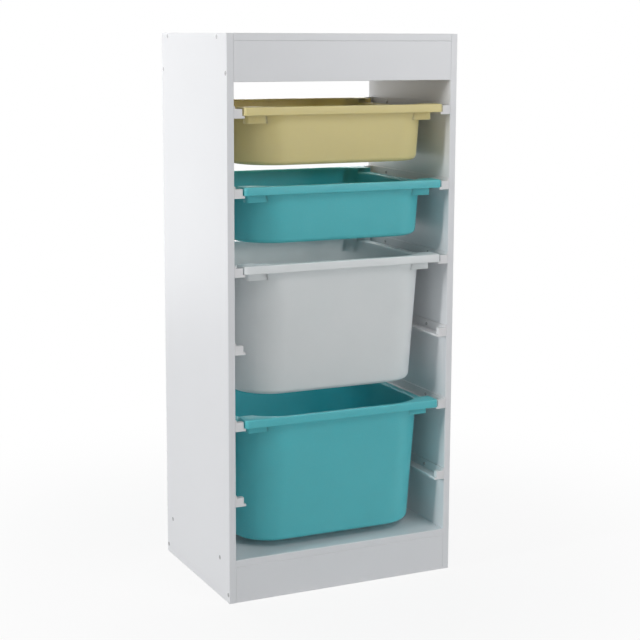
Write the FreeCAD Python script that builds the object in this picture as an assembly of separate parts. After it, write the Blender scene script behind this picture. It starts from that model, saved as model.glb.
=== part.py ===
import FreeCAD
import Part
import math
import os

# A toy storage frame: a narrow open-backed cabinet of thin white boards, with six pairs of moulded
# runners screwed inside its sides, and four moulded bins whose rims hang on those runners.
# Millimetres. +X is to the right seen from the front, +Y goes to the back and +Z is up.
# The origin is on the floor, in the middle of the whole object's width and depth.

# ---- Carcass -------------------------------------------------------------------------------------
carcass_width = 420.0
carcass_depth = 300.0
board = 12.0
edge_easing = 0.6
plinth_height = 62.0
top_rail_height = 65.0

# ---- Runner levels, counted from the top ---------------------------------------------------------
level_count = 6
level_pitch = 128.0
lowest_runner_above_shelf = 91.5
head_room = 57.5

# ---- Runner --------------------------------------------------------------------------------------
runner_web = 2.0
runner_web_height = 19.5
ledge_thickness = 4.0
ledge_reach = 18.5
stop_width = 15.0
stop_depth = 10.0
front_stop_height = 15.1
rear_stop_height = 18.5
stop_bevel = 1.2

# ---- Bins ----------------------------------------------------------------------------------------
bin_wall = 2.0
draft_angle = 3.8
wall_corner = 38.0
floor_round_inside = 11.0
rim_proud = 5.0
rim_to_back = 5.0
rim_corner = 6.0
rim_top_bevel = 1.0
rim_side_width = 25.0
rim_end_width = 8.0
roll_under_side = 5.0
roll_under_end = 0.6
bend_steps = 3
corner_facet_count = 8
flange_corner_bevel = 3.0
shallow_bin_underside_gap = 30.0
deep_bin_underside_gap = 36.0
tab_drop = 27.0
tab_side_inset = 12.0
tab_end_inset = 16.0
tab_length = 19.0
tab_corner = 5.5
side_shelf_end_inset = 36.0
side_shelf_corner = 4.0

# ---- Levels that carry the bins --------------------------------------------------------------------
upper_shallow_level = 1
lower_shallow_level = 2
upper_deep_level = 3
lower_deep_level = 5

# ---- Running clearances --------------------------------------------------------------------------
seat_gap = 0.3
over_stop_gap = 0.4
beside_stop_gap = 1.0
flange_to_web_gap = 0.5
shoulder_gap = 0.3
screw_clearance = 0.15

# ---- Screws --------------------------------------------------------------------------------------
screw_facet_count = 6
board_screw_radius = 2.0
board_screw_head_radius = 3.5
board_screw_head_height = 2.6
board_screw_length = 35.0
board_screw_front_inset = 43.0
board_screw_rear_inset = 29.0
rail_screw_rise = 14.0
runner_screw_radius = 1.5
runner_screw_head_radius = 2.8
runner_screw_head_height = 1.6
pan_head_taper = 0.75
runner_screw_length = 10.0
runner_screw_inset = 66.0
runner_screw_rise = 11.5

# ---- Places worked out from the sizes above --------------------------------------------------------
shelf_top = plinth_height + board
lowest_runner = shelf_top + lowest_runner_above_shelf
top_runner = lowest_runner + (level_count - 1) * level_pitch
rail_bottom = top_runner + head_room
carcass_height = rail_bottom + top_rail_height + board

inner_half = carcass_width / 2 - board
carcass_front = (rim_proud - carcass_depth) / 2
carcass_rear = carcass_front + carcass_depth

bin_front = carcass_front - rim_proud
bin_rear = carcass_rear - rim_to_back
bin_middle_y = (bin_front + bin_rear) / 2
rim_half_y = (bin_rear - bin_front) / 2
rim_half_x = inner_half - stop_width - beside_stop_gap
flange_half_x = inner_half - runner_web - flange_to_web_gap
shoulder_half_y = rim_half_y - rim_proud - stop_depth - shoulder_gap
wall_half_x = rim_half_x - rim_side_width
wall_half_y = rim_half_y - rim_end_width

rim_underside = front_stop_height + over_stop_gap
rim_top = rim_underside + bin_wall
lip_height = rim_top - ledge_thickness - seat_gap
side_shelf_half_y = rim_half_y - side_shelf_end_inset
side_shelf_drop = lip_height - bin_wall

rear_stop_front = bin_middle_y + shoulder_half_y + shoulder_gap
runner_length = rear_stop_front + stop_depth - carcass_front

MIDDLE = FreeCAD.Vector(0, 0, 0)
RIGHTWARDS = FreeCAD.Vector(1, 0, 0)
BACKWARDS = FreeCAD.Vector(0, 1, 0)
UPWARDS = FreeCAD.Vector(0, 0, 1)


def runner_base(level):
    """Height of the underside of the runners on one level, where level 1 is at the top."""
    return top_runner - (level - 1) * level_pitch


# ---- Drawing helpers -------------------------------------------------------------------------------
def corner_points(before, corner, after, radius, flats):
    """Points round one rounded corner, as the ends of that many equal chords of its arc."""
    back = (before - corner).normalize()
    on = (after - corner).normalize()
    half_angle = back.getAngle(on) / 2
    centre = corner + (back + on).normalize() * (radius / math.sin(half_angle))
    start = corner + back * (radius / math.tan(half_angle)) - centre
    sweep = 180.0 - 2 * math.degrees(half_angle)
    if (corner - before).cross(after - corner).z < 0:
        sweep = -sweep
    turns = [FreeCAD.Rotation(UPWARDS, sweep * i / flats) for i in range(flats + 1)]
    return [centre + turn.multVec(start) for turn in turns]


def ring_points(corners, height, flats):
    """Points of a plan through (x, y, radius) corners at a height, one list for each corner."""
    points = [FreeCAD.Vector(x, y, height) for x, y, radius in corners]
    ring = []
    for i in range(len(points)):
        radius = corners[i][2]
        if radius > 0:
            after = points[(i + 1) % len(points)]
            ring.append(corner_points(points[i - 1], points[i], after, radius, flats))
        else:
            ring.append([points[i]])
    return ring


def rounded_outline(corners, height):
    """A closed flat wire through (x, y, radius) corners, with an arc at each that has a radius."""
    ring = ring_points(corners, height, 2)
    edges = []
    for i in range(len(ring)):
        if len(ring[i]) > 1:
            edges.append(Part.Arc(*ring[i]).toShape())
        edges.append(Part.makeLine(ring[i][-1], ring[(i + 1) % len(ring)][0]))
    return Part.Wire(edges)


def flat_ring(corners, height):
    """The same plan as one list of points, with each rounded corner drawn in flats."""
    return sum(ring_points(corners, height, corner_facet_count), [])


def flat_faced_solid(rings):
    """The solid between rings of as many points, the first at its bottom, joined by flat faces."""
    faces = [Part.Face(Part.makePolygon(ring + ring[:1])) for ring in (rings[0], rings[-1])]
    for lower, upper in zip(rings, rings[1:]):
        for i in range(len(lower)):
            quad = [lower[i - 1], lower[i], upper[i], upper[i - 1], lower[i - 1]]
            faces.append(Part.Face(Part.makePolygon(quad)))
    solid = Part.makeSolid(Part.makeShell(faces))
    if solid.Volume < 0:
        solid.reverse()
    return solid


def rectangle_corners(low_x, low_y, high_x, high_y, radius):
    return [
        (low_x, low_y, radius),
        (high_x, low_y, radius),
        (high_x, high_y, radius),
        (low_x, high_y, radius),
    ]


def prism(corners, low_z, high_z):
    """A straight block of the given plan between two heights."""
    face = Part.Face(rounded_outline(corners, low_z))
    return face.extrude(UPWARDS * (high_z - low_z))


def eased_board(low, high, along):
    """A board between two opposite corners, with its long edges eased along one axis."""
    size = [high[i] - low[i] for i in range(3)]
    block = Part.makeBox(size[0], size[1], size[2], FreeCAD.Vector(*low))
    long_edges = []
    for edge in block.Edges:
        direction = edge.tangentAt(edge.FirstParameter)
        if abs(direction.dot(along)) > 0.99:
            long_edges.append(edge)
    return block.makeChamfer(edge_easing, long_edges)


def flat_sided_piece(sections, at, direction):
    """A small round piece drawn with flats, because it repeats many times.

    The sections are (distance, radius) pairs along an axis that starts at a point.
    """
    turns = [2 * math.pi * (i + 0.5) / screw_facet_count for i in range(screw_facet_count)]
    rings = []
    for distance, radius in sections:
        rings.append([FreeCAD.Vector(radius * math.cos(t), radius * math.sin(t), distance) for t in turns])
    piece = flat_faced_solid(rings)
    piece.Placement = FreeCAD.Placement(at, FreeCAD.Rotation(UPWARDS, direction))
    return piece


def mirrored(shape):
    return shape.mirror(MIDDLE, RIGHTWARDS)


# ---- Screws ----------------------------------------------------------------------------------------
def board_screw(place, extra=0.0):
    """Countersunk screw driven through a left side panel into the board behind it.

    With extra it is the hole that takes the screw, larger all round by that much.
    """
    head = board_screw_head_radius + extra
    shank = board_screw_radius + extra
    tip = board_screw_length + extra
    sections = [(0.0, head), (board_screw_head_height, shank), (tip, shank)]
    return flat_sided_piece(sections, place, RIGHTWARDS)


def board_screw_places():
    """Points on the outside of the left panel: two screws for each flat board, one for each rail."""
    face_x = -carcass_width / 2
    front = carcass_front + board_screw_front_inset
    rear = carcass_rear - board_screw_rear_inset
    rail_front = carcass_front + board / 2
    rail_rear = carcass_rear - board / 2
    places = []
    for z in (carcass_height - board / 2, plinth_height + board / 2):
        places.append(FreeCAD.Vector(face_x, front, z))
        places.append(FreeCAD.Vector(face_x, rear, z))
    for z in (rail_bottom + rail_screw_rise, rail_screw_rise):
        places.append(FreeCAD.Vector(face_x, rail_front, z))
        places.append(FreeCAD.Vector(face_x, rail_rear, z))
    return places


def board_screw_holes():
    left = Part.makeCompound([board_screw(p, screw_clearance) for p in board_screw_places()])
    return [left, mirrored(left)]


def runner_screw(place):
    """Pan-head screw through the runner's web into the panel, its head towards the bins."""
    head_top = runner_screw_head_radius * pan_head_taper
    head = [(-runner_screw_head_height, head_top), (0.0, runner_screw_head_radius)]
    shank = [(0.0, runner_screw_radius), (runner_screw_length, runner_screw_radius)]
    pieces = [flat_sided_piece(sections, place, -RIGHTWARDS) for sections in (head, shank)]
    return pieces[0].fuse(pieces[1])


def runner_screw_places(level):
    """Points on the bin side of the left runner's web."""
    face_x = runner_web - inner_half
    front = carcass_front + runner_screw_inset
    rear = carcass_front + runner_length - runner_screw_inset
    z = runner_base(level) + runner_screw_rise
    return [FreeCAD.Vector(face_x, front, z), FreeCAD.Vector(face_x, rear, z)]


def runner_screw_hole(place):
    """Shank hole through the web and on into the panel, left of the given point."""
    radius = runner_screw_radius + screw_clearance
    length = runner_screw_length + screw_clearance
    return flat_sided_piece([(0.0, radius), (length, radius)], place, -RIGHTWARDS)


# ---- Carcass ---------------------------------------------------------------------------------------
def left_side_panel():
    panel = eased_board(
        (-carcass_width / 2, carcass_front, 0),
        (-inner_half, carcass_rear, carcass_height),
        UPWARDS,
    )
    holes = [board_screw_holes()[0]]
    for level in range(1, level_count + 1):
        for place in runner_screw_places(level):
            holes.append(runner_screw_hole(place))
    return panel.cut(holes)


def cross_board(front, rear, bottom, top):
    """A board between the side panels, bored at both ends for the screws that reach it."""
    panel = eased_board((-inner_half, front, bottom), (inner_half, rear, top), RIGHTWARDS)
    return panel.cut(board_screw_holes())


def carcass_boards():
    rail_top = rail_bottom + top_rail_height
    behind_front_rail = carcass_front + board
    before_rear_rail = carcass_rear - board
    side = left_side_panel()
    return {
        "left_side_panel": side,
        "right_side_panel": mirrored(side),
        "top_panel": cross_board(carcass_front, carcass_rear, rail_top, carcass_height),
        "top_front_rail": cross_board(carcass_front, behind_front_rail, rail_bottom, rail_top),
        "top_rear_rail": cross_board(before_rear_rail, carcass_rear, rail_bottom, rail_top),
        "bottom_shelf": cross_board(carcass_front, carcass_rear, plinth_height, shelf_top),
        "front_plinth": cross_board(carcass_front, behind_front_rail, 0, plinth_height),
        "rear_plinth": cross_board(before_rear_rail, carcass_rear, 0, plinth_height),
    }


# ---- Runner ----------------------------------------------------------------------------------------
def runner_rail():
    """The L-shaped length of the left runner: a web on the panel and a ledge under the bin's rim.

    Drawn in X and Z from the foot of the web, then laid along +Y from the front.
    """
    corners = [
        (0.0, 0.0, 0.0),
        (ledge_reach, 0.0, 0.0),
        (ledge_reach, ledge_thickness, 0.0),
        (runner_web, ledge_thickness, 0.0),
        (runner_web, runner_web_height, 0.0),
        (0.0, runner_web_height, 0.0),
    ]
    rail = prism(corners, 0.0, runner_length)
    rail.rotate(MIDDLE, RIGHTWARDS, 90)
    rail.translate(BACKWARDS * runner_length)
    return rail


def runner_stop(front, height):
    """The moulded block across one end of the ledge, with its corners towards the bin bevelled."""
    rear = front + stop_depth
    corners = [
        (0.0, front, 0.0),
        (stop_width - stop_bevel, front, 0.0),
        (stop_width, front + stop_bevel, 0.0),
        (stop_width, rear - stop_bevel, 0.0),
        (stop_width - stop_bevel, rear, 0.0),
        (0.0, rear, 0.0),
    ]
    return prism(corners, 0.0, height)


def left_runner(level):
    front_stop = runner_stop(0.0, front_stop_height)
    rear_stop = runner_stop(runner_length - stop_depth, rear_stop_height)
    runner = runner_rail().fuse([front_stop, rear_stop]).removeSplitter()
    runner.translate(FreeCAD.Vector(-inner_half, carcass_front, runner_base(level)))
    return runner.cut([runner_screw_hole(place) for place in runner_screw_places(level)])


# ---- Bins ------------------------------------------------------------------------------------------
# A bin is drawn about its own middle, with the top of its rim at height 0.
def wall_ring(drop, inset, grow_side=0.0, grow_end=0.0):
    """Plan of the tapered wall this far below the rim, drawn in by an inset.

    Where the wall rolls out into the rim it grows, and more at the sides than at the ends.
    """
    draw_in = drop * math.tan(math.radians(draft_angle)) + inset
    half_x = wall_half_x - draw_in + grow_side
    half_y = wall_half_y - draw_in + grow_end
    corner = wall_corner - draw_in + grow_end
    return flat_ring(rectangle_corners(-half_x, -half_y, half_x, half_y, corner), -drop)


def tapered_tub(height, inset, rolled_under):
    """Solid of a tub from its floor up to height 0, with its edge rolled out to the rim.

    The outside has no inset, and its roll ends under the rim's plate. The hollow is inset by the
    wall, and its roll ends at the top, so that the wall keeps its thickness round both bends.
    """
    floor_round = floor_round_inside + bin_wall - inset
    rings = []
    for step in range(bend_steps + 1):
        turn = math.radians(90.0 * step / bend_steps)
        drop = height - floor_round * (1 - math.cos(turn))
        rings.append(wall_ring(drop, inset + floor_round * (1 - math.sin(turn))))
    grow_side = roll_under_side + inset
    grow_end = roll_under_end + inset
    roll_height = roll_under_side + bin_wall - rolled_under
    for step in range(bend_steps + 1):
        turn = math.radians(90.0 * step / bend_steps)
        out = 1 - math.cos(turn)
        drop = rolled_under + roll_height * (1 - math.sin(turn))
        rings.append(wall_ring(drop, inset, grow_side * out, grow_end * out))
    if rolled_under > 0:
        rings.append(wall_ring(0.0, inset, grow_side, grow_end))
    return flat_faced_solid(rings)


def rim_plate():
    """The flat top of the rim, stepped out at the sides behind the stops on the runners."""
    bevel = flange_corner_bevel
    quarter = [
        (rim_half_x, -rim_half_y, rim_corner),
        (rim_half_x, -shoulder_half_y, 0.0),
        (flange_half_x - bevel, -shoulder_half_y, 0.0),
        (flange_half_x, bevel - shoulder_half_y, 0.0),
    ]
    right = quarter + [(x, -y, radius) for x, y, radius in reversed(quarter)]
    left = [(-x, -y, radius) for x, y, radius in right]
    plate = prism(right + left, -bin_wall, 0.0)
    top_edges = [e for e in plate.Edges if e.BoundBox.ZMin > -1e-3]
    return plate.makeChamfer(rim_top_bevel, top_edges)


def rim_lip():
    """The edge that hangs from the rim all round and rides on the ledges at the sides."""
    inner_x = rim_half_x - bin_wall
    inner_y = rim_half_y - bin_wall
    inner_corner = rim_corner - bin_wall
    outside = rectangle_corners(-rim_half_x, -rim_half_y, rim_half_x, rim_half_y, rim_corner)
    inside = rectangle_corners(-inner_x, -inner_y, inner_x, inner_y, inner_corner)
    return prism(outside, -lip_height, -bin_wall).cut(prism(inside, -lip_height, -bin_wall))


def side_shelf_plan(outer_x, half_y, corner):
    """Plan of the part of the rim's right side that is sunk between its corners."""
    start_x = wall_half_x - wall_corner
    return [
        (start_x, -half_y, 0.0),
        (outer_x, -half_y, corner),
        (outer_x, half_y, corner),
        (start_x, half_y, 0.0),
    ]


def side_shelf():
    """The sunk part of the rim's right side, as its outside and the space above its shelf.

    The thin upstand left outside the space is the lip there, and it carries the flange.
    """
    outside = side_shelf_plan(rim_half_x, side_shelf_half_y + bin_wall, 0.0)
    space = side_shelf_plan(rim_half_x - bin_wall, side_shelf_half_y, side_shelf_corner)
    return prism(outside, -lip_height, -bin_wall), prism(space, -side_shelf_drop, 0.0)


def corner_tab():
    """The open-bottomed pocket under the rim's right front corner, beside the tub's corner."""
    outer_x = rim_half_x - tab_side_inset
    outer_y = rim_half_y - tab_end_inset
    start_x = wall_half_x - wall_corner
    rear_y = tab_length - outer_y
    outside = [
        (start_x, -outer_y, 0.0),
        (outer_x, -outer_y, tab_corner),
        (outer_x, rear_y, 0.0),
        (start_x, rear_y, 0.0),
    ]
    inside = [
        (start_x, bin_wall - outer_y, 0.0),
        (outer_x - bin_wall, bin_wall - outer_y, tab_corner - bin_wall),
        (outer_x - bin_wall, rear_y - bin_wall, 0.0),
        (start_x, rear_y - bin_wall, 0.0),
    ]
    return prism(outside, -tab_drop, -bin_wall).cut(prism(inside, -tab_drop, -bin_wall))


def moulded_bin(height):
    """One bin: a tapered tub in a rim with sunk sides, a flange, a lip and four corner tabs."""
    tab = corner_tab()
    tabs = [tab, mirrored(tab)]
    tabs += [t.mirror(MIDDLE, BACKWARDS) for t in tabs]
    tub = tapered_tub(height, 0.0, bin_wall)
    hollow = tapered_tub(height - bin_wall, bin_wall, 0.0)
    shelf, shelf_space = side_shelf()
    solid = tub.fuse([rim_plate(), rim_lip(), shelf, mirrored(shelf)] + tabs)
    return solid.cut([hollow, shelf_space, mirrored(shelf_space)]).removeSplitter()


def placed_bin(shape, level):
    moved = shape.copy()
    moved.translate(FreeCAD.Vector(0, bin_middle_y, runner_base(level) + rim_top))
    return moved


def bins():
    shallow = moulded_bin(level_pitch - shallow_bin_underside_gap)
    deep = moulded_bin(2 * level_pitch - deep_bin_underside_gap)
    return {
        "shallow_bin_1": placed_bin(shallow, upper_shallow_level),
        "shallow_bin_2": placed_bin(shallow, lower_shallow_level),
        "deep_bin_1": placed_bin(deep, upper_deep_level),
        "deep_bin_2": placed_bin(deep, lower_deep_level),
    }


# ---- The whole object ------------------------------------------------------------------------------
def runners_and_screws():
    nodes = {}
    screws = []
    for level in range(1, level_count + 1):
        runner = left_runner(level)
        nodes["runner_left_%d" % level] = runner
        nodes["runner_right_%d" % level] = mirrored(runner)
        screws += [runner_screw(place) for place in runner_screw_places(level)]
    nodes["runner_screws_left"] = Part.makeCompound(screws)
    nodes["runner_screws_right"] = mirrored(nodes["runner_screws_left"])
    return nodes


def carcass_screws():
    left = Part.makeCompound([board_screw(place) for place in board_screw_places()])
    return {"carcass_screws_left": left, "carcass_screws_right": mirrored(left)}


def main():
    nodes = {}
    nodes.update(carcass_boards())
    nodes.update(carcass_screws())
    nodes.update(runners_and_screws())
    nodes.update(bins())
    os.makedirs("parts", exist_ok=True)
    for name, shape in nodes.items():
        shape.exportStep("parts/%s.step" % name)
        print("%-22s %2d solids, %9.0f mm3, valid %s"
              % (name, len(shape.Solids), shape.Volume, shape.isValid()))
    print("%d nodes, %.0f mm high" % (len(nodes), carcass_height))


main()
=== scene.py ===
# %% [markdown]
# # A toy storage frame with pull-out bins
#
# The real thing is a narrow cabinet of thin white boards, open at the back. Six pairs of moulded
# runners are screwed inside its sides, and plastic bins hang on them by their rims. Each lesson
# cell below makes one thing: first what it is on the real object and how it could be made, then
# the code. The measured frame is loaded first, so that every piece is made in its true place, in
# metres, and nothing has to be fitted by eye.

# %% Load the measured frame
import bpy
import math
from mathutils import Matrix, Vector


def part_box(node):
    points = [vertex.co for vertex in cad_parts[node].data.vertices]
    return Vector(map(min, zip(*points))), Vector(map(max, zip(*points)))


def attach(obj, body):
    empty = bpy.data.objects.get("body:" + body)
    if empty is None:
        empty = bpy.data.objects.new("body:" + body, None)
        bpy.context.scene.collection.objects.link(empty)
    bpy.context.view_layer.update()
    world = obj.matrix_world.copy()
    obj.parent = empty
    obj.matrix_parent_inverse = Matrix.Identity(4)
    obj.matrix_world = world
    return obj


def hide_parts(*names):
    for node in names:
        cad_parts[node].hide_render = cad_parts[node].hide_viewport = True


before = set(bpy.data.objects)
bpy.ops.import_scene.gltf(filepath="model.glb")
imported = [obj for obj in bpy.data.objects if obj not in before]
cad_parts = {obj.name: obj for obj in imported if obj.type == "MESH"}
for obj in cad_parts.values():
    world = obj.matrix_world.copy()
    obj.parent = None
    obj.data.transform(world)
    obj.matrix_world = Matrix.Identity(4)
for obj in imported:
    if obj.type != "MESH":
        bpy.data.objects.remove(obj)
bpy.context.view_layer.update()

MM = 0.001

# %% [markdown]
# ## The camera
#
# A camera can be placed by eye, or worked out. Here it is worked out: the corners of the cabinet
# were matched to their places in the picture, which gives where the camera stood, where it looked
# and how long its lens was. The upright edges of the cabinet draw together only a little downwards,
# so the picture was framed a little below the middle of the lens, and the camera has that shift.

# %% Camera at the picture's viewpoint
picture_side = 640
focal_pixels = 1529.6
lens_middle_down = 280
turn_right, look_down, roll = 0.44683, 0.159, 0.0039
stands_at = Vector((-1.12671, -2.40380, 0.93761))

camera_data = bpy.data.cameras.new("picture_camera")
camera_data.sensor_width = 36.0
camera_data.lens = focal_pixels / picture_side * camera_data.sensor_width
camera_data.shift_y = (lens_middle_down - picture_side / 2) / picture_side
camera_data.clip_end = 100.0
camera = bpy.data.objects.new("picture_camera", camera_data)
bpy.context.scene.collection.objects.link(camera)
bpy.context.scene.camera = camera

forward = Vector((math.sin(turn_right) * math.cos(look_down),
                  math.cos(turn_right) * math.cos(look_down),
                  -math.sin(look_down)))
level_right = Vector((math.cos(turn_right), -math.sin(turn_right), 0.0))
level_up = level_right.cross(forward)
right = math.cos(roll) * level_right + math.sin(roll) * level_up
up = math.cos(roll) * level_up - math.sin(roll) * level_right
camera.matrix_world = Matrix((
    (right.x, up.x, -forward.x, stands_at.x),
    (right.y, up.y, -forward.y, stands_at.y),
    (right.z, up.z, -forward.z, stands_at.z),
    (0.0, 0.0, 0.0, 1.0),
))
print("camera lens in mm:", round(camera_data.lens, 1))

# %% [markdown]
# ## Helpers for materials
#
# A material is a small graph of nodes. Typing the same lines for every node hides what matters, so
# one helper makes a node and joins a value or another node's output to each of its inputs. The
# others build on it: a sum, a node group, and a finish joined to a material's shader.

# %% Material helpers
def add_node(tree, kind, settings=None, **inputs):
    """Makes a node, sets its own settings, and sets or joins each input named."""
    node = tree.nodes.new(kind)
    for name, value in (settings or {}).items():
        setattr(node, name, value)
    for name, value in inputs.items():
        socket = node.inputs[int(name[1:])] if name[0] == "n" and name[1:].isdigit() \
            else node.inputs[name.replace("_", " ")]
        if isinstance(value, bpy.types.NodeSocket):
            tree.links.new(value, socket)
        else:
            socket.default_value = value
    return node


def math_node(tree, operation, first, second=0.5, third=0.5):
    """One sum, as the output it gives."""
    node = add_node(tree, "ShaderNodeMath", {"operation": operation}, n0=first, n1=second, n2=third)
    return node.outputs[0]


def new_group(name, inputs, outputs):
    """An empty node group with named inputs, each with its usual value, and named outputs."""
    tree = bpy.data.node_groups.new(name, "ShaderNodeTree")
    for title, kind, value in inputs:
        socket = tree.interface.new_socket(title, in_out="INPUT", socket_type=kind)
        socket.default_value = value
    for title, kind in outputs:
        tree.interface.new_socket(title, in_out="OUTPUT", socket_type=kind)
    start = tree.nodes.new("NodeGroupInput")
    end = tree.nodes.new("NodeGroupOutput")
    return tree, start, end


def use_group(tree, group, **inputs):
    """Places a node group in a material and sets its inputs."""
    return add_node(tree, "ShaderNodeGroup", {"node_tree": group}, **inputs)


def new_material(name):
    """A new material, its tree of nodes and the shader in it."""
    material = bpy.data.materials.new(name)
    material.use_nodes = True
    return material, material.node_tree, material.node_tree.nodes["Principled BSDF"]


def join_finish(tree, shader, colour, roughness, height, strength, depth):
    """Joins a colour, a roughness and a bumpy skin of this depth in metres to a shader."""
    bump = add_node(tree, "ShaderNodeBump", Strength=strength, Distance=depth, Height=height)
    tree.links.new(colour, shader.inputs["Base Color"])
    tree.links.new(roughness, shader.inputs["Roughness"])
    tree.links.new(bump.outputs["Normal"], shader.inputs["Normal"])


FLOAT, COLOUR = "NodeSocketFloat", "NodeSocketColor"
print("material helpers ready")

# %% [markdown]
# ## Effect: colour drift
#
# No real surface is one flat colour. Plastic flows into its mould and sets a touch lighter or
# darker from place to place, and a printed foil has a slight cloudiness. One soft noise, as wide
# as a hand, multiplies the colour up and down by a percent or two.

# %% Colour drift group
colour_drift, start, end = new_group(
    "colour_drift",
    [("Colour", COLOUR, (0.8, 0.8, 0.8, 1)), ("Amount", FLOAT, 0.03), ("Patch size", FLOAT, 0.08)],
    [("Colour", COLOUR)],
)
place = add_node(colour_drift, "ShaderNodeTexCoord").outputs["Object"]
patches = math_node(colour_drift, "DIVIDE", 1.0, start.outputs["Patch size"])
clouds = add_node(colour_drift, "ShaderNodeTexNoise", Vector=place, Scale=patches, Detail=3.0)
swing = math_node(colour_drift, "SUBTRACT", clouds.outputs[0], 0.5)
swing = math_node(colour_drift, "MULTIPLY", swing, start.outputs["Amount"])
level = math_node(colour_drift, "MULTIPLY_ADD", swing, 2.0, 1.0)
tinted = add_node(colour_drift, "ShaderNodeVectorMath", {"operation": "SCALE"},
                  n0=start.outputs["Colour"], Scale=level)
colour_drift.links.new(tinted.outputs[0], end.inputs["Colour"])
print("group made:", colour_drift.name)

# %% [markdown]
# ## Effect: mould texture
#
# The steel mould of a plastic part is etched or spark-eroded, which leaves a fine pebbled skin on
# the part, about a third of a millimetre across. A fine noise over a cell pattern is close to it.
# The group gives a height for the Bump node, and the same pattern as a small change of roughness.

# %% Mould texture group
mould_texture, start, end = new_group(
    "mould_texture",
    [("Grain size", FLOAT, 0.0004), ("Roughness", FLOAT, 0.4), ("Swing", FLOAT, 0.06)],
    [("Height", FLOAT), ("Roughness", FLOAT)],
)
place = add_node(mould_texture, "ShaderNodeTexCoord").outputs["Object"]
grains = math_node(mould_texture, "DIVIDE", 1.0, start.outputs["Grain size"])
pebbles = add_node(mould_texture, "ShaderNodeTexVoronoi", {"feature": "SMOOTH_F1"},
                   Vector=place, Scale=grains, Smoothness=0.6).outputs["Distance"]
grit = add_node(mould_texture, "ShaderNodeTexNoise", Vector=place, Scale=grains, Detail=2.0).outputs[0]
height = math_node(mould_texture, "MULTIPLY_ADD", pebbles, 0.6, grit)
swing = math_node(mould_texture, "SUBTRACT", grit, 0.5)
rough = math_node(mould_texture, "MULTIPLY_ADD", swing, start.outputs["Swing"], start.outputs["Roughness"])
mould_texture.links.new(height, end.inputs["Height"])
mould_texture.links.new(rough, end.inputs["Roughness"])
print("group made:", mould_texture.name)

# %% [markdown]
# ## Effect: rubbed streaks
#
# The bins slide in and out, and toys scrape past the boards, so every surface carries a few faint
# straight marks along the way things move. A noise that is stretched along one direction makes
# them, and only its highest peaks are kept. The group gives a mask that is nearly all zero.

# %% Rubbed streaks group
rubbed_streaks, start, end = new_group(
    "rubbed_streaks",
    [("Across", FLOAT, 0.002), ("Along", FLOAT, 0.08), ("Threshold", FLOAT, 0.62)],
    [("Mask", FLOAT)],
)
place = add_node(rubbed_streaks, "ShaderNodeTexCoord").outputs["Object"]
across = math_node(rubbed_streaks, "DIVIDE", 1.0, start.outputs["Across"])
along = math_node(rubbed_streaks, "DIVIDE", 1.0, start.outputs["Along"])
stretch = add_node(rubbed_streaks, "ShaderNodeCombineXYZ", X=across, Y=along, Z=across).outputs[0]
stretched = add_node(rubbed_streaks, "ShaderNodeVectorMath", {"operation": "MULTIPLY"},
                     n0=place, n1=stretch).outputs[0]
streaks = add_node(rubbed_streaks, "ShaderNodeTexNoise", Vector=stretched, Scale=1.0, Detail=2.0).outputs[0]
peaks = math_node(rubbed_streaks, "SUBTRACT", streaks, start.outputs["Threshold"])
mask = add_node(rubbed_streaks, "ShaderNodeMath", {"operation": "MULTIPLY", "use_clamp": True},
                n0=peaks, n1=8.0)
rubbed_streaks.links.new(mask.outputs[0], end.inputs["Mask"])
print("group made:", rubbed_streaks.name)

# %% [markdown]
# ## Finish: moulded plastic
#
# The bins and the runners are both moulded, and differ only in colour, gloss and the fineness of
# the mould. One function builds their material from the three effects, and the shader itself stays
# in the material. Streaks make the plastic a little lighter and duller where they cross it. The
# walls of a bin are thin, and a little light passes through them: the insides glow in the colour of
# the plastic. Subsurface gives that, with a depth of a few millimetres.

# %% Moulded plastic
worn_plastic = (0.9, 0.9, 0.88, 1.0)
pebble_depth = 0.04 * MM
light_depth = 5.0 * MM
bin_clearness = 0.8


def moulded_plastic(name, colour, roughness, grain, wear, clear=0.0):
    """A material for a moulded part; clear is the share of light that goes into the plastic."""
    material, tree, shader = new_material(name)
    drift = use_group(tree, colour_drift, Colour=(*colour, 1.0), Amount=0.03, Patch_size=0.07)
    skin = use_group(tree, mould_texture, Grain_size=grain, Roughness=roughness, Swing=0.08)
    streaks = use_group(tree, rubbed_streaks, Across=0.0015, Along=0.06, Threshold=0.64)
    worn = math_node(tree, "MULTIPLY", streaks.outputs["Mask"], wear)
    mixed = add_node(tree, "ShaderNodeMix", {"data_type": "RGBA"}, n0=worn,
                     n6=drift.outputs["Colour"], n7=worn_plastic)
    dulled = math_node(tree, "MULTIPLY_ADD", worn, 0.6, skin.outputs["Roughness"])
    join_finish(tree, shader, mixed.outputs[2], dulled, skin.outputs["Height"], 0.35, pebble_depth)
    shader.inputs["Specular IOR Level"].default_value = 0.4
    shader.inputs["Subsurface Weight"].default_value = clear
    shader.inputs["Subsurface Radius"].default_value = (1.0, 1.0, 1.0)
    shader.inputs["Subsurface Scale"].default_value = light_depth
    material.diffuse_color = (*colour, 1.0)
    return material


bin_grain, runner_grain = 0.4 * MM, 0.5 * MM
yellow_plastic = moulded_plastic("yellow_plastic", (0.82, 0.70, 0.35), 0.42, bin_grain, 0.10, bin_clearness)
teal_plastic = moulded_plastic("teal_plastic", (0.12, 0.57, 0.62), 0.40, bin_grain, 0.08, bin_clearness)
white_plastic = moulded_plastic("white_plastic", (0.88, 0.94, 0.95), 0.40, bin_grain, 0.06, bin_clearness)
runner_plastic = moulded_plastic("runner_plastic", (0.82, 0.82, 0.83), 0.36, runner_grain, 0.08)
print("plastics made:", [m.name for m in (yellow_plastic, teal_plastic, white_plastic, runner_plastic)])

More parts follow.
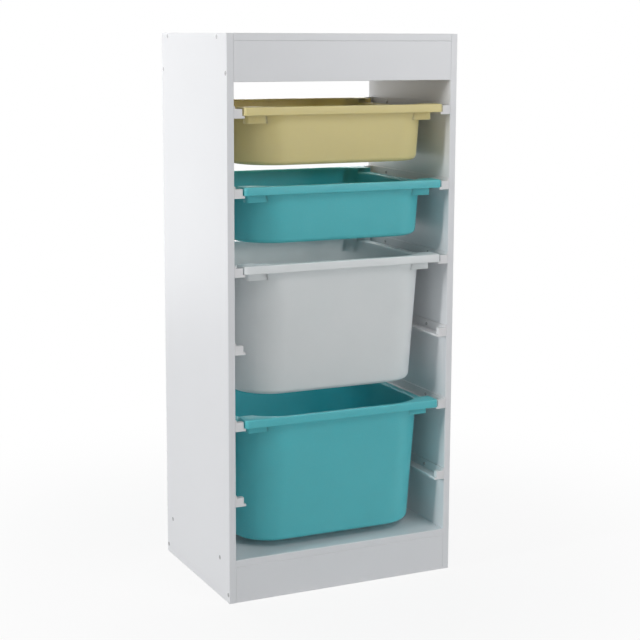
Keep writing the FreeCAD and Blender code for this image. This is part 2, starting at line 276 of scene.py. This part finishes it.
# %% [markdown]
# ## Finish: foiled board
#
# The boards are chipboard wrapped in a plain white foil. Up close the foil has a soft embossed
# ripple from the chips under it, and a narrow strip of thicker edging closes the front edges. The
# ripple is a wide, shallow bump. The edging shows only as a fine line, a millimetre back from the
# front, so it is drawn by the place of the surface and not by another piece.

# %% Foiled board
front_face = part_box("left_side_panel")[0].y
edging_thickness = 1.1 * MM
seam_half_width = 0.18 * MM
seam_dark, scuff_dark = 0.22, 0.05
dirt = (0.45, 0.44, 0.42, 1.0)
ripple_depth = 0.06 * MM
ripples_in_a_metre = 260.0


def foiled_board(name, colour):
    """A material for a board wrapped in foil, with the seam of its edging behind its front face."""
    material, tree, shader = new_material(name)
    place = add_node(tree, "ShaderNodeTexCoord").outputs["Object"]
    drift = use_group(tree, colour_drift, Colour=(*colour, 1.0), Amount=0.015, Patch_size=0.15)
    streaks = use_group(tree, rubbed_streaks, Across=0.0025, Along=0.12, Threshold=0.66)
    ripples = add_node(tree, "ShaderNodeTexNoise", Vector=place, Scale=ripples_in_a_metre, Detail=3.0)
    ripple = ripples.outputs[0]
    depth = add_node(tree, "ShaderNodeSeparateXYZ", Vector=place).outputs["Y"]
    behind = math_node(tree, "SUBTRACT", depth, front_face + edging_thickness)
    seam = math_node(tree, "COMPARE", behind, 0.0, seam_half_width)
    dark = math_node(tree, "MULTIPLY", seam, seam_dark)
    scuff = math_node(tree, "MULTIPLY", streaks.outputs["Mask"], scuff_dark)
    shade = math_node(tree, "ADD", dark, scuff)
    mixed = add_node(tree, "ShaderNodeMix", {"data_type": "RGBA"}, n0=shade,
                     n6=drift.outputs["Colour"], n7=dirt)
    rough = math_node(tree, "MULTIPLY_ADD", ripple, 0.10, 0.30)
    join_finish(tree, shader, mixed.outputs[2], rough, ripple, 0.25, ripple_depth)
    shader.inputs["Specular IOR Level"].default_value = 0.5
    material.diffuse_color = (*colour, 1.0)
    return material


white_foil = foiled_board("white_foil", (0.81, 0.82, 0.84))
print("board finish made:", white_foil.name)

# %% [markdown]
# ## Finish: plated steel
#
# The screws are steel with a thin zinc coat. It is a grey metal, a little uneven from screw to
# screw. Metal has no colour of its own under its reflections, so the detail goes into the
# roughness and the bump.

# %% Plated steel
zinc_grey = (0.42, 0.42, 0.43, 1.0)
zinc_depth = 0.03 * MM
grains_in_a_metre = 1800.0
plated_steel, tree, shader = new_material("plated_steel")
place = add_node(tree, "ShaderNodeTexCoord").outputs["Object"]
grit = add_node(tree, "ShaderNodeTexNoise", Vector=place, Scale=grains_in_a_metre, Detail=3.0).outputs[0]
drift = use_group(tree, colour_drift, Colour=zinc_grey, Amount=0.12, Patch_size=3.0 * MM)
rough = math_node(tree, "MULTIPLY_ADD", grit, 0.25, 0.25)
join_finish(tree, shader, drift.outputs["Colour"], rough, grit, 0.3, zinc_depth)
shader.inputs["Metallic"].default_value = 1.0
print("steel made")

# %% [markdown]
# ## The boards and the runners
#
# Their measured shapes are already right, so they stay. What a measured shape lacks is the softness
# of a real edge: foil is drawn round a board's edge and a moulded corner is never sharp, and it is
# the soft edge that catches the light. A Weld modifier joins the loaded faces, and a Bevel modifier
# rounds only the corners between faces that meet at a real angle.

# %% Soften and finish the measured nodes
board_edge_radius = 0.3 * MM
runner_edge_radius = 0.6 * MM
real_corner_angle = 40.0


def soften(node, radius, segments):
    """Rounds the real corners of a measured node."""
    weld = node.modifiers.new("join_faces", "WELD")
    weld.merge_threshold = 0.01 * MM
    bevel = node.modifiers.new("soft_edges", "BEVEL")
    bevel.width = radius
    bevel.segments = segments
    bevel.limit_method = "ANGLE"
    bevel.angle_limit = math.radians(real_corner_angle)
    bevel.harden_normals = True


def finish_node(node, material):
    """Gives a measured node its finish in place of its plain colour."""
    for slot in node.material_slots:
        slot.material = material


boards = [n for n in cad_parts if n.endswith(("panel", "rail", "shelf", "plinth"))]
runners = [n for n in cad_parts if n.startswith(("runner_left", "runner_right"))]
for name in boards:
    soften(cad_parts[name], board_edge_radius, 2)
    finish_node(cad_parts[name], white_foil)
for name in runners:
    soften(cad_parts[name], runner_edge_radius, 3)
    finish_node(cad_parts[name], runner_plastic)
print("softened:", len(boards), "boards and", len(runners), "runners")

# %% [markdown]
# ## Helpers for meshes
#
# A moulded bin is one skin that runs from the middle of its floor, up the wall, over the rim and
# back down outside. Such a skin is a grid: rows that go round the bin, one after the other from
# inside to outside. A helper turns the grid into a mesh, and two more make round corners: one gives
# the steps of a quarter round, and one draws a short curve through the corner of a section.

# %% Mesh helpers
def quarter_round(steps):
    """For each step of a quarter round of radius 1: how far across it has come, and how far along
    it still has to go."""
    turns = [math.radians(90.0 * i / steps) for i in range(steps + 1)]
    return [(1 - math.cos(a), 1 - math.sin(a)) for a in turns]


def soft_corner(before, corner, after, radius, steps=3):
    """Points of a short curve that rounds one corner of a line of points."""
    back = before - corner
    on = after - corner
    first = corner + back.normalized() * min(radius, back.length * 0.45)
    last = corner + on.normalized() * min(radius, on.length * 0.45)
    points = []
    for i in range(steps + 1):
        t = i / steps
        points.append(first * (1 - t) ** 2 + corner * 2 * t * (1 - t) + last * t ** 2)
    return points


def grid_mesh(name, rows, closed_round, caps):
    """A mesh through rows of points in millimetres; caps are single points that close its ends."""
    count = len(rows[0])
    points = [p * MM for row in rows for p in row]
    faces = []
    around = count if closed_round else count - 1
    for r in range(len(rows) - 1):
        for i in range(around):
            j = (i + 1) % count
            faces.append((r * count + i, r * count + j, (r + 1) * count + j, (r + 1) * count + i))
    if caps:
        first, last, end_row = len(points), len(points) + 1, (len(rows) - 1) * count
        points += [caps[0] * MM, caps[1] * MM]
        for i in range(count):
            j = (i + 1) % count
            faces.append((first, j, i))
            faces.append((end_row + i, end_row + j, last))
    mesh = bpy.data.meshes.new(name)
    mesh.from_pydata(points, [], faces)
    mesh.validate()
    mesh.flip_normals()
    return mesh


def smooth_but_sharp(mesh, degrees):
    """Shades a mesh smooth, and keeps the edges between faces that meet at more than this angle."""
    for face in mesh.polygons:
        face.use_smooth = True
    mesh.set_sharp_from_angle(angle=math.radians(degrees))


print("mesh helpers ready")

# %% [markdown]
# ## The bin: its plan
#
# Seen from above, the tub is a rectangle with very wide round corners, and the rim round it has
# small ones, so the rim has a flat triangle at each corner. Between those corners the sides of the
# rim are stepped down. One list of places round a quarter of the bin carries all of this: the turn
# round the tub's corner, the matching place on the rim, and how far the rim is stepped down there.
# Under the step the skin turns a wall's thickness further on, so a place has a second spot there.
# The rows from the side to the corner are listed one by one, closer together where the surface bends.
# All sizes of the bin are in millimetres, and its mesh is turned into metres.

# %% Sizes of a bin and its places round a quarter
wall = 2.0
wall_half = Vector((171.0, 142.0))
wall_corner = 72.0
side_slope = math.tan(math.radians(1.6))
end_slope = math.tan(math.radians(6.2))
floor_round = 6.0
rim_half = Vector((181.0, 150.0))
rim_corner = 6.0
lip = 13.2
side_step = 8.0
step_end = 114.0
step_fillet = 1.5
step_edge = 0.8
step_lean = 0.3
side_rows = (76.0, 82.0, 88.0, 94.0, 100.0, 105.0, 109.0)
step_turn, step_turn_each = 35.0, 0.5
corner_rows = ((118.0, 41.0), (124.0, 42.4), (131.0, 43.6), (138.0, 44.6))
rim_corner_turn, rim_corner_turn_each = 45.2, 0.4
end_row_turn = 48.0
round_starts = wall_half - Vector((wall_corner, wall_corner))
rim_turns = rim_half - Vector((rim_corner, rim_corner))


def tub_turn(y):
    """Turn round the tub's corner at which its wall is this far from the middle."""
    return math.degrees(math.asin(max(0.0, min(1.0, (y - round_starts.y) / wall_corner))))


def quarter_places():
    """Places from the middle of the right side to the middle of the back."""
    places = []

    def add(at, way, turn, share=1.0, dip=0.0, under=0.0, low=None):
        turns = (turn, turn if low is None else low, tub_turn(at.y + under) if under else turn)
        places.append(dict(at=at, way=way, turns=turns, share=share, dip=dip, under=Vector((0.0, under))))

    def on_side(y, turn, **more):
        add(Vector((rim_turns.x, y)), Vector((1.0, 0.0)), turn, **more)

    for share in (0.0, 0.35, 0.7, 1.0):
        on_side(share * round_starts.y, 0.0, share=share, dip=1.0)
    for y in side_rows:
        on_side(y, tub_turn(y), dip=1.0)
    bend = [(step_end - step_fillet * along, side_step - step_fillet * across)
            for across, along in quarter_round(4)]
    bend += [(step_end + step_lean + step_edge * across, step_edge * along)
             for across, along in quarter_round(3)]
    for i, (y, depth) in enumerate(bend):
        on_side(y, tub_turn(y), dip=depth / side_step, under=wall, low=step_turn + step_turn_each * i)
    for y, turn in corner_rows:
        on_side(y, turn)
    for i in range(7):
        a = math.radians(15.0 * i)
        add(rim_turns, Vector((math.cos(a), math.sin(a))), rim_corner_turn + rim_corner_turn_each * i)
    for i in range(1, 9):
        t = i / 8
        x = rim_turns.x * (1 - t) + round_starts.x * t
        add(Vector((x, rim_turns.y)), Vector((0.0, 1.0)), end_row_turn + (90.0 - end_row_turn) * t)
    for share in (0.66, 0.33, 0.0):
        add(Vector((share * round_starts.x, rim_turns.y)), Vector((0.0, 1.0)), 90.0, share=share)
    return places


bin_quarter = quarter_places()
print("places round a quarter of a bin:", len(bin_quarter))

# %% [markdown]
# ## The bin: its section
#
# At each place the skin is cut from the middle of the floor to the middle of the underside. The
# walls lean outward so that the bin leaves its mould, the floor turns up in a round, and the top of
# the wall rolls out into the rim. Every corner of the section is rounded, because a mould has no
# sharp corner and the light on these small rounds is what makes plastic look like plastic.

# %% The section of the skin at one place
TOP, LOW, UNDER = 0, 1, 2
roll_end = 18.0
corner_roll, side_roll = Vector((2.6, 6.0)), Vector((2.0, 3.0))
under_roll = Vector((0.6, 4.0))
rim_edge_radii = (1.2, 0.7, 0.7, 0.8)


def tub_point(place, which, drop, inset, grow=0.0):
    """A point of the tub's wall, this far under the rim's top and drawn in by the inset."""
    side_in = drop * side_slope + inset - grow
    end_in = drop * end_slope + inset - grow
    corner = wall_corner - side_in
    x, y = wall_half.x - side_in - corner, wall_half.y - end_in - corner
    turn = place["turns"][which]
    if turn == 0.0:
        return Vector((x + corner, y * place["share"], -drop))
    if turn == 90.0:
        return Vector((x * place["share"], y + corner, -drop))
    a = math.radians(turn)
    return Vector((x + corner * math.cos(a), y + corner * math.sin(a), -drop))


def rim_point(place, inset, z, under=False):
    """A point of the rim, drawn in by the inset, on its outside or on the skin under it."""
    spot = place["at"] + place["way"] * (rim_corner - inset)
    if under:
        spot = spot + place["under"]
    return Vector((spot.x, spot.y, z))


def bin_section(place, height):
    """Points of the skin from the floor inside, over the rim, to the underside."""
    step = side_step * place["dip"]
    roll = corner_roll.lerp(side_roll, place["dip"])
    half_way = (height + roll_end) / 2
    points = []
    for across, along in quarter_round(6):
        points.append(tub_point(place, LOW, height - wall - floor_round * across, wall + floor_round * along))
    points.append(tub_point(place, LOW, half_way, wall))
    points.append(tub_point(place, LOW, roll_end, wall))
    for across, along in quarter_round(5):
        points.append(tub_point(place, TOP, step + roll.y * along, wall, roll.x * across))

    outside = []
    for across, along in reversed(quarter_round(5)):
        drop = wall + step + under_roll.y * along
        outside.append(tub_point(place, UNDER, drop, 0.0, under_roll.x * across))
    corners = [
        points[-1],
        rim_point(place, 0.0, -step),
        rim_point(place, 0.0, -lip),
        rim_point(place, wall, -lip),
        rim_point(place, wall, -wall - step, True),
        outside[0],
    ]
    for i, radius in enumerate(rim_edge_radii):
        points += soft_corner(corners[i], corners[i + 1], corners[i + 2], radius)
    points += outside
    points.append(tub_point(place, LOW, roll_end, 0.0))
    points.append(tub_point(place, LOW, half_way, 0.0))
    under_round = floor_round + wall
    for across, along in reversed(quarter_round(6)):
        points.append(tub_point(place, LOW, height - under_round * across, under_round * along))
    return points


shallow_height, deep_height = 96.0, 225.0
print("points in a section:", len(bin_section(bin_quarter[0], shallow_height)))

# %% [markdown]
# ## The bin: corner pockets
#
# Under each corner of the rim hangs a small open pocket. It stops the next bin of a stack from
# wedging, and it stiffens the corner. It is a bent wall, so it is a grid too: a line with one
# round corner, followed down the outside, round its lower edge and up the inside.

# %% Corner pockets
pocket_x, pocket_y, pocket_length, pocket_drop = 170.0, 130.0, 15.7, 27.0
pocket_corner, pocket_small_corner = 5.5, 1.5
pocket_edge = 0.7
pocket_top = -1.0


def wall_reach(y, z):
    """Where the middle of the tub's wall is at this distance from the bin's middle, at height z."""
    corner = wall_corner + z * side_slope
    middle_y = wall_half.y + z * end_slope - corner
    return round_starts.x + math.sqrt(max(0.0, (corner - wall / 2) ** 2 - (y - middle_y) ** 2))


def pocket_rows():
    """Rows of a pocket, from the top of its outside, round its lower edge, to the top of its inside."""
    rows = []
    edge = pocket_edge
    part = 0.3 * edge
    outside = [(0.0, pocket_top), (0.0, edge - pocket_drop), (part, part - pocket_drop), (edge, -pocket_drop)]
    levels = outside + [(wall - inset, z) for inset, z in reversed(outside)]
    for inset, z in levels:
        front = pocket_y - inset
        rear = pocket_y - pocket_length + inset
        side = pocket_x - inset
        start_point = Vector((wall_reach(front, z), front, z))
        corner = Vector((side, front, z))
        turn = Vector((side, rear, z))
        last = Vector((wall_reach(rear, z), rear, z))
        row = [start_point]
        row += soft_corner(start_point, corner, turn, pocket_corner - inset, 5)
        row += soft_corner(corner, turn, last, pocket_small_corner, 3)
        row.append(last)
        rows.append(row)
    return rows


print("rows in a pocket:", len(pocket_rows()))

# %% [markdown]
# ## The bin: whole
#
# A quarter is made once and mirrored to the other three, which keeps the bin true and the code
# short. The places of the mirrored quarters run backwards, so that the rows go on round the bin
# without crossing. Skin and pockets are joined into one mesh, since the real bin is one moulding.

# %% Build a bin
bin_sharp_angle = 42.0


def all_round(height):
    """Sections for every place round the bin, in order."""
    quarter = [bin_section(p, height) for p in bin_quarter]

    def flipped(sections, x, y):
        return [[Vector((p.x * x, p.y * y, p.z)) for p in s] for s in sections]

    left_back = flipped(quarter[::-1][1:], -1, 1)
    left_front = flipped(quarter[1:], -1, -1)
    right_front = flipped(quarter[::-1][1:-1], 1, -1)
    return quarter + left_back + left_front + right_front


def moulded_bin(name, height):
    """One moulding: the skin, joined with a pocket under each corner of its rim."""
    sections = all_round(height)
    rows = [list(row) for row in zip(*sections)]
    floor_inside = Vector((0, 0, wall - height))
    underside = Vector((0, 0, -height))
    mesh = grid_mesh(name, rows, True, (floor_inside, underside))
    skin = bpy.data.objects.new(name, mesh)
    bpy.context.scene.collection.objects.link(skin)
    pockets = []
    for x in (1, -1):
        for y in (1, -1):
            turned = [[Vector((p.x * x, p.y * y, p.z)) for p in row] for row in pocket_rows()]
            if x * y > 0:
                turned = turned[::-1]
            part = bpy.data.objects.new(name + "_pocket", grid_mesh(name + "_pocket", turned, False, None))
            bpy.context.scene.collection.objects.link(part)
            pockets.append(part)
    with bpy.context.temp_override(active_object=skin, selected_editable_objects=[skin] + pockets):
        bpy.ops.object.join()
    smooth_but_sharp(skin.data, bin_sharp_angle)
    return skin


def hang_bin(node, height, material):
    """Builds a bin in the place of its node and lets it ride on the node's body."""
    piece = moulded_bin(node + "_moulding", height)
    low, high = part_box(node)
    piece.data.transform(Matrix.Translation(Vector((0.0, (low.y + high.y) / 2, high.z))))
    piece.data.materials.append(material)
    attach(piece, node + "_body")
    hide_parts(node)
    print(piece.name, "faces:", len(piece.data.polygons), "rim top in mm:", round(high.z / MM, 1))


hang_bin("shallow_bin_1", shallow_height, yellow_plastic)
hang_bin("shallow_bin_2", shallow_height, teal_plastic)
hang_bin("deep_bin_1", deep_height, white_plastic)
hang_bin("deep_bin_2", deep_height, teal_plastic)

# %% [markdown]
# ## The screws
#
# Two kinds hold the cabinet. Countersunk screws go through the sides into the boards, with their
# flat heads level with the foil, and domed screws hold the runners. A head is a shape turned round
# its own axis with a cross recess pressed into it. The recess is a four-armed star in the rows near
# the middle, so no cutting is needed. A profile is a list of pairs: how far along the screw from the
# surface it sits on, and the radius there, in millimetres.

# %% Screws
ring_points = 48
screw_sharp_angle = 35.0


def star(angle, arm, waist):
    """Reach of a four-armed recess in one direction."""
    return waist + (arm - waist) * max(0.0, math.cos(2 * angle)) ** 6


def screw_rows(profile, recess, length, shank):
    """Rows of a screw along +X: the recess, the head's profile and the shank, as rings."""
    turns = [2 * math.pi * i / ring_points for i in range(ring_points)]

    def ring(x, radius):
        return [Vector((x, r * math.cos(t), r * math.sin(t))) for t, r in
                ((t, radius(t) if callable(radius) else radius) for t in turns)]

    arm, waist, deep, face = recess
    rows = [ring(face + deep, lambda t: star(t, arm * 0.55, waist * 0.5)),
            ring(face, lambda t: star(t, arm, waist))]
    rows += [ring(x, radius) for x, radius in profile]
    rows += [ring(profile[-1][0] + 0.01, shank), ring(length, shank)]
    return rows


def screw_set(name, node, places, rows, flip):
    """Copies of one screw at several places, as one piece that stands for the node's screws."""
    count = len(rows[0])
    points, faces = [], []
    for spot in places:
        base = len(points)
        for row in rows:
            points += [Vector((spot.x + flip * p.x, spot.y + p.y, spot.z + p.z)) * MM for p in row]
        for r in range(len(rows) - 1):
            for i in range(count):
                j = (i + 1) % count
                quad = [base + r * count + i, base + r * count + j,
                        base + (r + 1) * count + j, base + (r + 1) * count + i]
                faces.append(quad if flip > 0 else quad[::-1])
        first = [base + i for i in range(count)]
        last = [base + (len(rows) - 1) * count + i for i in range(count)]
        faces.append(first[::-1] if flip > 0 else first)
        faces.append(last if flip > 0 else last[::-1])
    mesh = bpy.data.meshes.new(name)
    mesh.from_pydata(points, [], faces)
    mesh.validate()
    smooth_but_sharp(mesh, screw_sharp_angle)
    mesh.materials.append(plated_steel)
    piece = bpy.data.objects.new(name, mesh)
    bpy.context.scene.collection.objects.link(piece)
    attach(piece, "root")
    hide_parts(node)
    print(name, "screws:", len(places))


panel_low, panel_high = [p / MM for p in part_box("left_side_panel")]
flat_head = [(-0.2, 3.3), (-0.15, 3.6), (0.0, 3.8), (0.15, 3.7), (2.6, 2.0)]
flat_recess = (2.3, 0.75, 1.6, -0.2)
flat_length, flat_shank = 34.5, 2.0
half_board = 6.0
board_levels = (panel_high.z - half_board, 68.0)
board_from_front, board_from_back = 43.0, 29.0
rail_levels = (877.0, 14.0)

board_places = []
for z in board_levels:
    for y in (panel_low.y + board_from_front, panel_high.y - board_from_back):
        board_places.append(Vector((panel_low.x, y, z)))
for z in rail_levels:
    for y in (panel_low.y + half_board, panel_high.y - half_board):
        board_places.append(Vector((panel_low.x, y, z)))

pan_head = [(-1.6, 1.5), (-1.45, 2.0), (-1.1, 2.45), (-0.5, 2.75), (0.0, 2.8)]
pan_recess = (1.7, 0.6, 1.0, -1.6)
pan_length, pan_shank = 9.5, 1.5
runner_web, screw_inset, screw_rise = 2.0, 66.0, 11.5

runner_places = []
for level in range(1, 7):
    low, high = [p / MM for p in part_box("runner_left_%d" % level)]
    for y in (panel_low.y + screw_inset, high.y - screw_inset):
        runner_places.append(Vector((low.x + runner_web, y, low.z + screw_rise)))


def mirrored(places):
    """The same places on the right side."""
    return [Vector((-p.x, p.y, p.z)) for p in places]


flat_rows = screw_rows(flat_head, flat_recess, flat_length, flat_shank)
screw_set("side_screws_left", "carcass_screws_left", board_places, flat_rows, 1.0)
screw_set("side_screws_right", "carcass_screws_right", mirrored(board_places), flat_rows, -1.0)
pan_rows = screw_rows(pan_head, pan_recess, pan_length, pan_shank)
screw_set("rail_screws_left", "runner_screws_left", runner_places, pan_rows, -1.0)
screw_set("rail_screws_right", "runner_screws_right", mirrored(runner_places), pan_rows, 1.0)

# %% [markdown]
# ## The room: floor and light
#
# A product picture is taken in a plain bright room. The floor is one large pale sheet, and the sky
# round it is an even soft light. The eye of the camera sees both as white, while the light that
# reaches the object stays plain. Near the object the floor still takes its shadow, because there
# only a part of its colour comes from that trick. Further away the part grows to the whole, so that
# no horizon shows.

# %% Floor
def camera_sees(tree):
    """One for a ray that the eye, a mirror or glass sends out, and zero for one that carries light."""
    path = add_node(tree, "ShaderNodeLightPath")
    seen = math_node(tree, "MAXIMUM", path.outputs["Is Camera Ray"], path.outputs["Is Glossy Ray"])
    return math_node(tree, "MAXIMUM", seen, path.outputs["Is Transmission Ray"])


floor_mesh = bpy.data.meshes.new("floor")
reach = 14.0
fade_from, fade_to = 0.3, 1.1
white_near = 0.88
floor_mesh.from_pydata([(-reach, -reach, 0), (reach, -reach, 0), (reach, reach, 0), (-reach, reach, 0)],
                       [], [(0, 1, 2, 3)])
floor = bpy.data.objects.new("floor", floor_mesh)
bpy.context.scene.collection.objects.link(floor)

floor_paint, tree, shader = new_material("floor_paint")
shader.inputs["Base Color"].default_value = (0.80, 0.80, 0.80, 1.0)
shader.inputs["Roughness"].default_value = 0.8
shader.inputs["Specular IOR Level"].default_value = 0.1
glow = add_node(tree, "ShaderNodeEmission", Color=(1.0, 1.0, 1.0, 1.0), Strength=1.0)
place = add_node(tree, "ShaderNodeTexCoord").outputs["Object"]
away = add_node(tree, "ShaderNodeVectorMath", {"operation": "LENGTH"}, n0=place).outputs["Value"]
fade = add_node(tree, "ShaderNodeMapRange", {"interpolation_type": "SMOOTHSTEP"},
                n0=away, n1=fade_from, n2=fade_to, n3=white_near, n4=1.0).outputs[0]
share = math_node(tree, "MULTIPLY", camera_sees(tree), fade)
both = add_node(tree, "ShaderNodeMixShader", n0=share, n1=shader.outputs[0], n2=glow.outputs[0])
tree.links.new(both.outputs[0], tree.nodes["Material Output"].inputs["Surface"])
floor_mesh.materials.append(floor_paint)
print("floor made, half width in m:", reach)

# %% World
world = bpy.data.worlds.new("soft_room")
world.use_nodes = True
bpy.context.scene.world = world
tree = world.node_tree
soft = tree.nodes["Background"]
soft.inputs["Color"].default_value = (0.97, 0.98, 1.0, 1.0)
soft.inputs["Strength"].default_value = 0.19
white = add_node(tree, "ShaderNodeBackground", Color=(1.0, 1.0, 1.0, 1.0), Strength=1.0)
both = add_node(tree, "ShaderNodeMixShader", n0=camera_sees(tree), n1=soft.outputs[0], n2=white.outputs[0])
tree.links.new(both.outputs[0], tree.nodes["World Output"].inputs["Surface"])
print("world made")

# %% [markdown]
# ## The lamps
#
# The shadows in the picture tell where the light comes from. The edge of the left panel throws a
# fairly sharp shadow far into the right panel, so the main lamp is small, and stands far to the left
# and only a little in front. The fronts are lit evenly and the right end of the upper rail shines,
# so a soft lamp stands at the front right. The shadow under each rim needs one higher up. A wide
# soft light behind the frame stands for the bright backdrop, and shines through the bins' walls.

# %% Lamps
def soft_lamp(name, at, towards, side, power):
    """A square lamp of this width in metres and power in watts, turned towards a point."""
    data = bpy.data.lights.new(name, "AREA")
    data.shape = "SQUARE"
    data.size = side
    data.energy = power
    lamp = bpy.data.objects.new(name, data)
    bpy.context.scene.collection.objects.link(lamp)
    lamp.location = at
    lamp.rotation_mode = "QUATERNION"
    lamp.rotation_quaternion = (Vector(towards) - Vector(at)).to_track_quat("-Z", "Y")
    print(name, "power in W:", power)
    return lamp


middle = (0.0, 0.0, 0.5)
soft_lamp("window_left", (-3.0, -0.38, 1.15), middle, 0.3, 35.0)
soft_lamp("front_fill", (2.2, -3.3, 1.25), middle, 1.25, 34.0)
soft_lamp("front_high", (0.6, -2.3, 2.9), middle, 1.0, 18.5)
backdrop = soft_lamp("backdrop", (0.0, 2.2, 1.3), (0.0, 0.0, 0.6), 3.0, 42.0)
backdrop.visible_camera = False

bpy.context.scene.view_settings.view_transform = "Standard"
